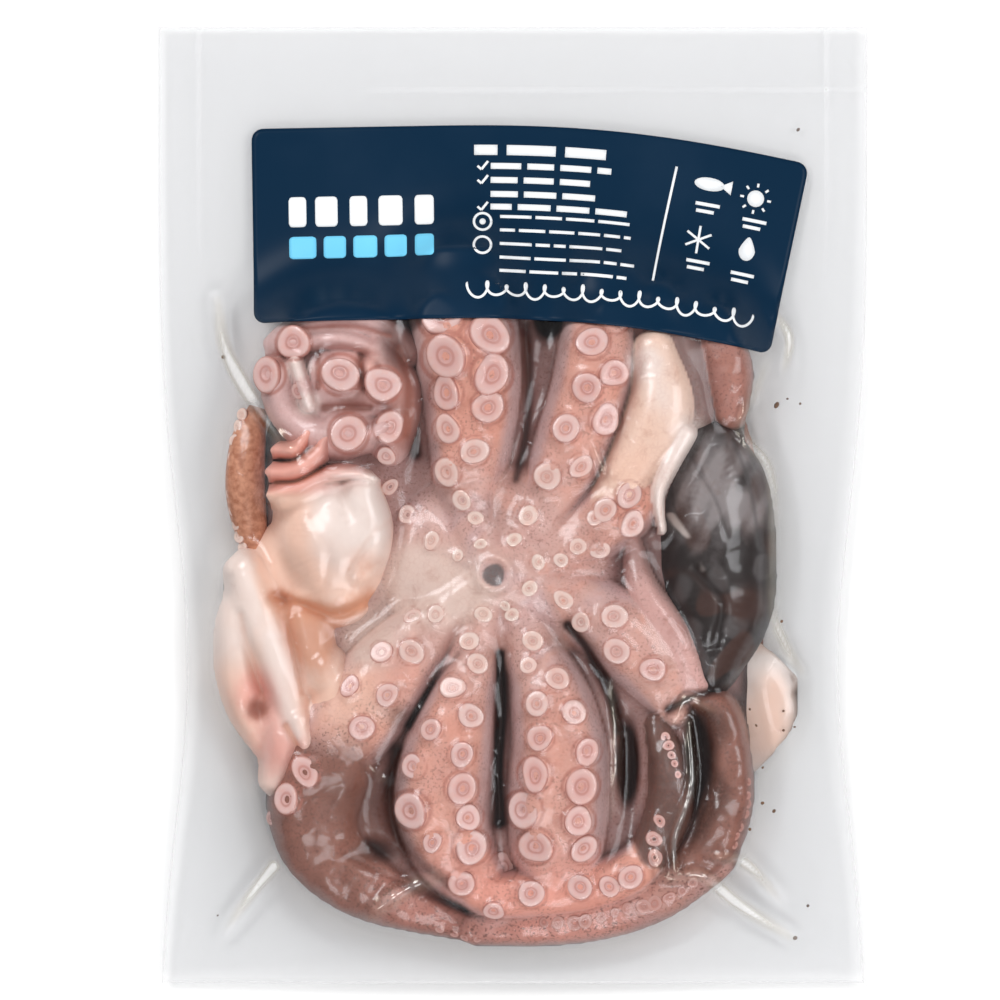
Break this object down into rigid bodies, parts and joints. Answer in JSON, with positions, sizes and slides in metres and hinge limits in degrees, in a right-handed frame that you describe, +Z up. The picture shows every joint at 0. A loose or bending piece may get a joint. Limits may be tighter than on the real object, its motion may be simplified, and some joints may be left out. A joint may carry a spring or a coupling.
{
  "type": "vacuum-packed whole octopus",
  "caption": "Whole octopus, sucker side up with curled arms, vacuum packed in a clear flat pouch with a flat welded border and a printed label, lying on its back.",
  "frame": {"origin": "middle of the pouch's outline, on the surface that the pack rests on", "axes": "+Y along the pouch towards the label's end, +Z up out of the shown face, +X across to the right"},
  "size_m": [0.221, 0.298, 0.0375],
  "materials": {
    "sealed_bag": "clear glossy film drawn tight over wet pink-brown octopus",
    "label": "dark blue printed film label, satin"
  },
  "bodies": {
    "root": {"sealed_bag": "sealed_bag", "label": "label"}
  },
  "joints": []
}
